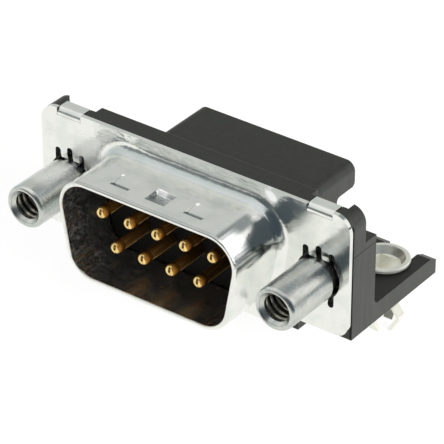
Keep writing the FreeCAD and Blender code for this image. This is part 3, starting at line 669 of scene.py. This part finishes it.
def thread_points(centre, front, sizes, steps):
    """Closed helical ridge inside a bore: the angle runs over the turns, and a section (root,
    crest, crest, root, and two corners inside the wall) is carried along it, its y growing by one
    pitch a turn. The crest takes its share of a pitch and the flanks end at theirs. The ridge
    fades at both ends, where its section closes in its own middle."""
    turns = sizes.length / sizes.pitch
    angle = np.linspace(0.0, 2 * np.pi * turns, int(turns * steps) + 1)[:, None]
    to_end = np.minimum(angle, angle[-1] - angle)
    fade = np.clip(to_end / (2 * RUN_OUT_TURNS * np.pi), 0.0, 1.0)
    half = sizes.pitch / 2
    shares = [-THREAD_FLANK, -THREAD_CREST, THREAD_CREST, THREAD_FLANK, THREAD_FLANK, -THREAD_FLANK]
    major, minor, wall = sizes.major, sizes.minor, sizes.major + WALL_DEPTH
    depths = np.array([major, minor, minor, major, wall, wall])[None, :]
    radius = np.where(depths < major, major - (major - depths) * fade, depths)
    along = front + half + angle * sizes.pitch / (2 * np.pi) + np.array(shares)[None, :] * half
    x = centre.x + radius * np.cos(angle)
    z = centre.z + radius * np.sin(angle)
    points = np.stack([x, along + 0 * radius, z], axis=-1)
    columns = points.shape[1]
    first, last = [np.repeat(points[[i]].mean(axis=1, keepdims=True), columns, 1) for i in (0, -1)]
    return np.concatenate([first, points, last])


def countersink_points(centre, front, sizes, steps):
    """Ring at the bore's mouth: a section (wall, lip, throat, throat end, wall) turned about the
    axis; the cone runs from the major radius at the front to the minor radius as far behind it."""
    angle = np.linspace(0.0, 2 * np.pi, steps, endpoint=False)[:, None]
    drop = sizes.major - sizes.minor
    throat_end = THROAT_DROPS * drop
    wall = sizes.major + WALL_DEPTH
    radius = np.array([wall, sizes.major, sizes.minor, sizes.minor, wall])[None, :]
    along = front + np.array([0.0, 0.0, drop, throat_end, throat_end])[None, :]
    x = centre.x + radius * np.cos(angle)
    z = centre.z + radius * np.sin(angle)
    return np.stack([x, along + 0 * angle, z], axis=-1)


def nose_points(axis_x, axis_z, tip, sizes, steps):
    """Cap over a pin's blunt nose: the meridian runs out from the tip over a flat face, along a
    quarter ellipse to the cap's radius, straight back, and in to a pole inside the pin; turned
    about the pin's axis. Inside an almond on the face the surface is pushed back along the pin to
    make the open seam."""
    bend = np.linspace(0.0, np.pi / 2, 9)[1:]
    face = np.linspace(0.0, sizes.face, 14)
    edge = sizes.face + (sizes.radius - sizes.face) * np.sin(bend)
    rear_radius = sizes.radius - NOSE_REAR_INSET
    rear = sizes.length + NOSE_REAR_DEPTH
    radius = np.concatenate([face, edge, [sizes.radius, rear_radius, 0.0]])
    along = np.concatenate([0 * face, sizes.dome * (1 - np.cos(bend)), [sizes.length, rear, rear]])
    angle = np.linspace(0.0, 2 * np.pi, steps, endpoint=False)
    x = radius[:, None] * np.cos(angle)[None, :]
    z = radius[:, None] * np.sin(angle)[None, :]
    y = np.repeat(along[:, None], steps, axis=1)
    inside = (x / sizes.seam_width) ** 2 + ((z - sizes.seam_middle) / sizes.seam_height) ** 2
    on_front = y < NOSE_FRONT_SHARE * sizes.length
    y = y + sizes.seam_depth * np.clip(SEAM_STEEPNESS * (1 - inside), 0.0, 1.0) * on_front
    return np.stack([axis_x + x, tip - sizes.proud + y, axis_z + z], axis=-1)


def assign(nodes, material):
    """Gives carried-over CAD nodes a finish."""
    for node in nodes:
        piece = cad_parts[node]
        for slot in piece.material_slots:
            slot.material = material
        piece.data.shade_smooth()


class FinishSizes(bpy.types.PropertyGroup):
    """Colours and roughness of the finishes."""

    shell_colour: bpy.props.FloatVectorProperty(
        name="Shell plate", description="Colour of the plated shell", subtype="COLOR", size=3,
        default=(0.90, 0.905, 0.885), min=0.0, max=1.0,
    )
    shell_roughness: bpy.props.FloatProperty(
        name="Shell roughness", description="Blur of the shell's reflections",
        default=0.12, min=0.0, max=1.0,
    )
    lock_colour: bpy.props.FloatVectorProperty(
        name="Screwlock plate", description="Colour of the plated screwlocks", subtype="COLOR",
        size=3, default=(0.71, 0.73, 0.72), min=0.0, max=1.0,
    )
    lock_roughness: bpy.props.FloatProperty(
        name="Screwlock roughness", description="Blur of the screwlocks' reflections",
        default=0.24, min=0.0, max=1.0,
    )
    # Painted shade: the thread's colour is the plate darkened for the shade inside the bore.
    thread_shade_colour: bpy.props.FloatVectorProperty(
        name="Thread", description="Colour of the cut thread", subtype="COLOR", size=3,
        default=(0.36, 0.33, 0.27), min=0.0, max=1.0,
    )
    bore_roughness: bpy.props.FloatProperty(
        name="Thread roughness", description="Blur of the thread's reflections",
        default=0.25, min=0.0, max=1.0,
    )
    eyelet_colour: bpy.props.FloatVectorProperty(
        name="Board lock plate", description="Colour of the plated board locks", subtype="COLOR",
        size=3, default=(0.88, 0.87, 0.80), min=0.0, max=1.0,
    )
    eyelet_roughness: bpy.props.FloatProperty(
        name="Board lock roughness", description="Blur of the board locks' reflections",
        default=0.26, min=0.0, max=1.0,
    )
    eyelet_metal: bpy.props.FloatProperty(
        name="Board lock metal", description="Share of the board locks' look that is mirror",
        default=0.88, min=0.0, max=1.0,
    )
    gold_colour: bpy.props.FloatVectorProperty(
        name="Gold", description="Colour of the contacts' tails", subtype="COLOR", size=3,
        default=(1.0, 0.72, 0.34), min=0.0, max=1.0,
    )
    deep_gold_colour: bpy.props.FloatVectorProperty(
        name="Deep gold", description="Deeper colour towards the pins' noses", subtype="COLOR",
        size=3, default=(0.92, 0.54, 0.18), min=0.0, max=1.0,
    )
    gold_roughness: bpy.props.FloatProperty(
        name="Gold roughness", description="Blur of the contacts' reflections",
        default=0.16, min=0.0, max=1.0,
    )
    # The nose colour is the painted highlight on the cheeks.
    nose_colour: bpy.props.FloatVectorProperty(
        name="Nose", description="Colour of the bright cheeks on the pins' noses",
        subtype="COLOR", size=3, default=(1.0, 0.76, 0.32), min=0.0, max=1.0,
    )
    # Deeper gold with painted shade round the nose's highlights.
    nose_deep_colour: bpy.props.FloatVectorProperty(
        name="Nose edge", description="Deeper gold round the cheeks", subtype="COLOR", size=3,
        default=(0.40, 0.17, 0.03), min=0.0, max=1.0,
    )
    # Painted shade in the open seam.
    seam_shade_colour: bpy.props.FloatVectorProperty(
        name="Nose seam", description="Colour in the open seam", subtype="COLOR", size=3,
        default=(0.05, 0.02, 0.004), min=0.0, max=1.0,
    )
    nose_roughness: bpy.props.FloatProperty(
        name="Nose roughness", description="Blur of the noses' reflections",
        default=0.2, min=0.0, max=1.0,
    )
    plastic_colour: bpy.props.FloatVectorProperty(
        name="Plastic", description="Colour of the mouldings", subtype="COLOR", size=3,
        default=(0.0205, 0.0215, 0.0195), min=0.0, max=1.0,
    )
    plastic_roughness: bpy.props.FloatProperty(
        name="Plastic roughness", description="Blur of the mouldings' reflections",
        default=0.28, min=0.0, max=1.0,
    )
    wave: bpy.props.FloatProperty(
        name="Sheet waves", description="Height of the drawn sheet's waves, in millimetres",
        default=0.03, min=0.0, max=1.0, precision=3,
    )


class ThreadSizes(bpy.types.PropertyGroup):
    """Thread in the screwlocks."""

    pitch: bpy.props.FloatProperty(
        name="Pitch", description="Thread pitch of forty turns to the inch", unit="LENGTH",
        default=0.635 * MM, precision=6,
    )
    major: bpy.props.FloatProperty(
        name="Major radius", description="Radius of the bore wall", unit="LENGTH",
        default=1.42 * MM, precision=6,
    )
    minor: bpy.props.FloatProperty(
        name="Minor radius", description="Radius at the ridge's crest", unit="LENGTH",
        default=1.17 * MM, precision=6,
    )
    lead_in: bpy.props.FloatProperty(
        name="Lead-in", description="Length in front of the first ridge", unit="LENGTH",
        default=0.36 * MM, precision=6,
    )
    mouth_chamfer: bpy.props.FloatProperty(
        name="Mouth chamfer", description="Depth of the chamfer in front of the countersink",
        unit="LENGTH", default=0.12 * MM, precision=6,
    )
    length: bpy.props.FloatProperty(
        name="Length", description="Length of bore with ridges", unit="LENGTH",
        default=5.0 * MM, precision=6,
    )


class NoseSizes(bpy.types.PropertyGroup):
    """Noses of the pins."""

    radius: bpy.props.FloatProperty(
        name="Radius", description="Radius of the nose, just over the pin's", unit="LENGTH",
        default=0.504 * MM, precision=6,
    )
    dome: bpy.props.FloatProperty(
        name="Dome", description="Length of the rounded edge", unit="LENGTH",
        default=0.26 * MM, precision=6,
    )
    face: bpy.props.FloatProperty(
        name="Face", description="Radius of the flat face", unit="LENGTH",
        default=0.30 * MM, precision=6,
    )
    length: bpy.props.FloatProperty(
        name="Length", description="Length of the nose piece", unit="LENGTH",
        default=0.86 * MM, precision=6,
    )
    proud: bpy.props.FloatProperty(
        name="Proud", description="Distance in front of the pin's flat tip", unit="LENGTH",
        default=0.05 * MM, precision=6,
    )
    seam_width: bpy.props.FloatProperty(
        name="Seam width", description="Half width of the open seam", unit="LENGTH",
        default=0.12 * MM, precision=6,
    )
    seam_height: bpy.props.FloatProperty(
        name="Seam height", description="Half height of the open seam", unit="LENGTH",
        default=0.26 * MM, precision=6,
    )
    seam_middle: bpy.props.FloatProperty(
        name="Seam middle", description="Middle of the seam above the pin's axis", unit="LENGTH",
        default=0.13 * MM, precision=6,
    )
    seam_depth: bpy.props.FloatProperty(
        name="Seam depth", description="Depth of the open seam", unit="LENGTH",
        default=0.06 * MM, precision=6,
    )


class StageSizes(bpy.types.PropertyGroup):
    """Camera and light."""

    azimuth: bpy.props.FloatProperty(
        name="Azimuth", description="Camera's turn round the object", subtype="ANGLE",
        default=math.radians(36.5),
    )
    elevation: bpy.props.FloatProperty(
        name="Elevation", description="Camera's height above the horizon", subtype="ANGLE",
        default=math.radians(32.4),
    )
    roll: bpy.props.FloatProperty(
        name="Roll", description="Camera's turn about its own axis", subtype="ANGLE", default=0.0,
    )
    distance: bpy.props.FloatProperty(
        name="Distance", description="Camera to the object's origin", unit="LENGTH",
        default=234.0 * MM,
    )
    focal_pixels: bpy.props.FloatProperty(
        name="Focal length", description="Focal length in pixels of the picture", default=2900.0,
    )
    aim_right: bpy.props.FloatProperty(
        name="Aim right", description="Picture centre right of the origin", unit="LENGTH",
        default=2.5 * MM,
    )
    aim_up: bpy.props.FloatProperty(
        name="Aim up", description="Picture centre above the origin", unit="LENGTH",
        default=0.26 * MM,
    )
    key_power: bpy.props.FloatProperty(
        name="Key lamp", description="Power of the lamp on the right", unit="POWER", default=6.8,
    )
    top_power: bpy.props.FloatProperty(
        name="Top lamp", description="Power of the lamp overhead", unit="POWER", default=0.3,
    )


class MakeFinishes(bpy.types.Operator):
    """Give every CAD node its procedural finish"""

    bl_idname = "connector.make_finishes"
    bl_label = "Finishes"

    def execute(self, context):
        sizes = context.scene.connector_finish
        shell = colour_of(sizes, "shell_colour")
        lock = colour_of(sizes, "lock_colour")
        eyelet = colour_of(sizes, "eyelet_colour")
        bore_radius = context.scene.connector_thread.major
        axis_x = middle("right_screwlock").x
        # The thread's colour is painted shade for the inside of the bore.
        turned_metal("tapped_bore", colour_of(sizes, "thread_shade_colour"), sizes.bore_roughness)
        turned_metal("countersink", lock, sizes.lock_roughness)
        # Nose colours: painted highlight on the cheeks, painted shade round them and in the seam.
        gold_nose(
            "gold_plated_nose", colour_of(sizes, "nose_colour"),
            colour_of(sizes, "nose_deep_colour"), colour_of(sizes, "seam_shade_colour"),
            sizes.nose_roughness, context.scene.connector_nose,
        )
        assign(
            ["front_shell"],
            drawn_metal("tin_plated_shell", shell, sizes.shell_roughness, sizes.wave),
        )
        assign(
            SCREWLOCKS,
            turned_metal(
                "nickel_plated_screwlock", lock, sizes.lock_roughness, axis_x, bore_radius
            ),
        )
        assign(
            BOARD_LOCKS,
            drawn_metal(
                "tin_plated_eyelet", eyelet, sizes.eyelet_roughness, sizes.wave, sizes.eyelet_metal
            ),
        )
        assign(
            CONTACTS,
            gold_plate(
                "gold_plated_contact", colour_of(sizes, "gold_colour"),
                colour_of(sizes, "deep_gold_colour"), sizes.gold_roughness,
            ),
        )
        assign(
            MOULDINGS,
            moulded_plastic(
                "black_moulding", colour_of(sizes, "plastic_colour"), sizes.plastic_roughness
            ),
        )
        return {"FINISHED"}


class MakeNoses(bpy.types.Operator):
    """Blunt noses with their seams on the nine pins"""

    bl_idname = "connector.make_noses"
    bl_label = "Pin noses"

    def execute(self, context):
        sizes = context.scene.connector_nose
        for node in CONTACTS:
            low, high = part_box(node)
            axis_x = (low[0] + high[0]) / 2
            axis_z = ROW_PITCH / 2 if high[2] > 0 else -ROW_PITCH / 2
            points = nose_points(axis_x, axis_z, low[1], sizes, steps=72)
            mesh = surface_mesh(node + "_nose", points, wrap_v=True, join=True)
            add_piece(node + "_nose", mesh, "gold_plated_nose")
        return {"FINISHED"}


class MakeThreads(bpy.types.Operator):
    """Thread ridges and countersinks inside both screwlocks"""

    bl_idname = "connector.make_threads"
    bl_label = "Threads"

    def execute(self, context):
        sizes = context.scene.connector_thread
        for node in SCREWLOCKS:
            centre = middle(node)
            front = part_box(node)[0][1]
            points = thread_points(centre, front + sizes.lead_in, sizes, steps=72)
            mesh = surface_mesh(node + "_thread", points, wrap_v=True, join=True)
            add_piece(node + "_thread", mesh, "tapped_bore")
            points = countersink_points(centre, front + sizes.mouth_chamfer, sizes, steps=96)
            ring = surface_mesh(node + "_countersink", points, wrap_u=True, wrap_v=True)
            ring.shade_flat()
            add_piece(node + "_countersink", ring, "countersink")
        return {"FINISHED"}


def place_camera(sizes):
    """Camera that looks from the photograph's side, with its picture centre moved off the
    origin."""
    a, e, r = sizes.azimuth, sizes.elevation, sizes.roll
    back = Vector((math.sin(a) * math.cos(e), -math.cos(a) * math.cos(e), math.sin(e)))
    right = Vector((math.cos(a), math.sin(a), 0.0))
    up = back.cross(right)
    right, up = right * math.cos(r) + up * math.sin(r), up * math.cos(r) - right * math.sin(r)
    data = bpy.data.cameras.new("photograph_camera")
    data.sensor_width = SENSOR
    data.lens = sizes.focal_pixels / IMAGE_SIDE * SENSOR
    data.clip_start = 0.01
    data.clip_end = 10.0
    camera = bpy.data.objects.new("photograph_camera", data)
    bpy.context.scene.collection.objects.link(camera)
    turn = Matrix((right, up, back)).transposed().to_4x4()
    place = back * sizes.distance + right * sizes.aim_right + up * sizes.aim_up
    camera.matrix_world = Matrix.Translation(place) @ turn
    bpy.context.scene.camera = camera


def soft_lamp(name, direction, size, power):
    """Rectangular lamp along a direction, facing the origin. Plated metal mirrors the room's
    patches and not the lamp."""
    data = bpy.data.lights.new(name, "AREA")
    data.shape = "RECTANGLE"
    data.size, data.size_y = size
    data.energy = power
    lamp = bpy.data.objects.new(name, data)
    bpy.context.scene.collection.objects.link(lamp)
    away = Vector(direction).normalized()
    lamp.location = away * LAMP_DISTANCE
    lamp.rotation_mode = "QUATERNION"
    lamp.rotation_quaternion = away.to_track_quat("Z", "Y")
    lamp.visible_glossy = False


def toward(azimuth, elevation):
    """Unit vector: azimuth from the rear (+Y) over the right (+X), elevation above the horizon,
    in degrees."""
    a, e = math.radians(azimuth), math.radians(elevation)
    return (math.sin(a) * math.cos(e), math.cos(a) * math.cos(e), math.sin(e))


def lobe(shade, direction, azimuth, elevation, inner, outer):
    """Soft disc of directions: 1 within the inner angle of its middle, 0 beyond the outer one."""
    terms = ((0, direction), (1, toward(azimuth, elevation)))
    near = shade.node("ShaderNodeVectorMath", {"operation": "DOT_PRODUCT"}, "Value", terms)
    return near.step(math.cos(math.radians(outer)), math.cos(math.radians(inner)))


def ray_kind(shade, name):
    """1 for rays of one kind."""
    return shade.node("ShaderNodeLightPath", output=name)


def studio_world():
    """Room: white for the camera, plain for soft light, and soft patches for reflections."""
    world = bpy.data.worlds.new("studio")
    bpy.context.scene.world = world
    shade = Shader(world)
    direction = shade.node("ShaderNodeTexCoord", output="Generated")
    height = shade.parts(direction)[2]
    tent = shade.mix(height.step(*CEILING_HEIGHT), MIRRORED_WALL, MIRRORED_CEILING)
    for azimuth, elevation, inner, outer, strength, colour in REFLECTED_PATCHES:
        patch = lobe(shade, direction, azimuth, elevation, inner, outer)
        tent = shade.mix(patch * strength, tent, colour)
    seen = shade.mix(ray_kind(shade, "Is Glossy Ray"), ROOM_SOFT_LIGHT, tent)
    seen = shade.mix(ray_kind(shade, "Is Camera Ray"), seen, WHITE)
    background = shade.node("ShaderNodeBackground", Color=seen, Strength=1.0)
    shade.node("ShaderNodeOutputWorld", Surface=background)


def floor_material():
    """Matt white floor with its shadow, lifted to plain white for the camera; reflections see a
    lit table that ends in the dark on the viewer's right."""
    material, shade, place = new_finish("white_floor")
    x, y = shade.parts(place)[:2]
    table = shade.mix((x * 0.80 - y * 0.60).step(*TABLE_END), TABLE_NEAR, TABLE_FAR)
    matt = shade.node("ShaderNodeBsdfDiffuse", Color=FLOOR_WHITE)
    glow = shade.node("ShaderNodeEmission", Color=WHITE, Strength=FLOOR_GLOW)
    lift = ray_kind(shade, "Is Camera Ray") * FLOOR_GLOW_SHARE
    seen = shade.node("ShaderNodeMixShader", None, 0, ((0, lift), (1, matt), (2, glow)))
    mirrored = shade.node("ShaderNodeEmission", Color=table, Strength=1.0)
    terms = ((0, ray_kind(shade, "Is Glossy Ray")), (1, seen), (2, mirrored))
    both = shade.node("ShaderNodeMixShader", None, 0, terms)
    shade.node("ShaderNodeOutputMaterial", Surface=both)
    return material


class MakeStage(bpy.types.Operator):
    """Floor, lamps, room and camera"""

    bl_idname = "connector.make_stage"
    bl_label = "Stage"

    def execute(self, context):
        sizes = context.scene.connector_stage
        ends = np.array([-FLOOR_REACH, FLOOR_REACH])
        across, along = np.meshgrid(ends, ends, indexing="ij")
        level = np.full_like(across, CAD_BOX[0][2] - FLOOR_GAP)
        mesh = surface_mesh("floor", np.stack([across, along, level], axis=-1))
        mesh.materials.append(floor_material())
        floor = bpy.data.objects.new("floor", mesh)
        context.scene.collection.objects.link(floor)
        soft_lamp("key", KEY_DIRECTION, KEY_SIZE, sizes.key_power)
        soft_lamp("top", TOP_DIRECTION, TOP_SIZE, sizes.top_power)
        studio_world()
        place_camera(sizes)
        context.scene.view_settings.view_transform = "Standard"
        return {"FINISHED"}


class ConnectorPanel(bpy.types.Panel):
    """Connector dressing"""

    bl_label = "Connector"
    bl_idname = "VIEW3D_PT_connector"
    bl_space_type = "VIEW_3D"
    bl_region_type = "UI"
    bl_category = "Connector"

    def draw(self, context):
        for operator, group in STEPS:
            self.layout.operator(operator.bl_idname)
            sizes = getattr(context.scene, group)
            for name in sizes.bl_rna.properties.keys():
                if name not in ("rna_type", "name"):
                    self.layout.prop(sizes, name)


GROUPS = (
    ("connector_finish", FinishSizes),
    ("connector_nose", NoseSizes),
    ("connector_thread", ThreadSizes),
    ("connector_stage", StageSizes),
)
STEPS = (
    (MakeFinishes, "connector_finish"),
    (MakeNoses, "connector_nose"),
    (MakeThreads, "connector_thread"),
    (MakeStage, "connector_stage"),
)


def register():
    for name, group in GROUPS:
        bpy.utils.register_class(group)
        setattr(bpy.types.Scene, name, bpy.props.PointerProperty(type=group))
    for operator, _ in STEPS:
        bpy.utils.register_class(operator)
    bpy.utils.register_class(ConnectorPanel)


def unregister():
    bpy.utils.unregister_class(ConnectorPanel)
    for operator, _ in reversed(STEPS):
        bpy.utils.unregister_class(operator)
    for name, group in reversed(GROUPS):
        delattr(bpy.types.Scene, name)
        bpy.utils.unregister_class(group)


def main():
    register()
    bpy.ops.connector.make_finishes()
    bpy.ops.connector.make_noses()
    bpy.ops.connector.make_threads()
    bpy.ops.connector.make_stage()


if __name__ == "__main__":
    main()
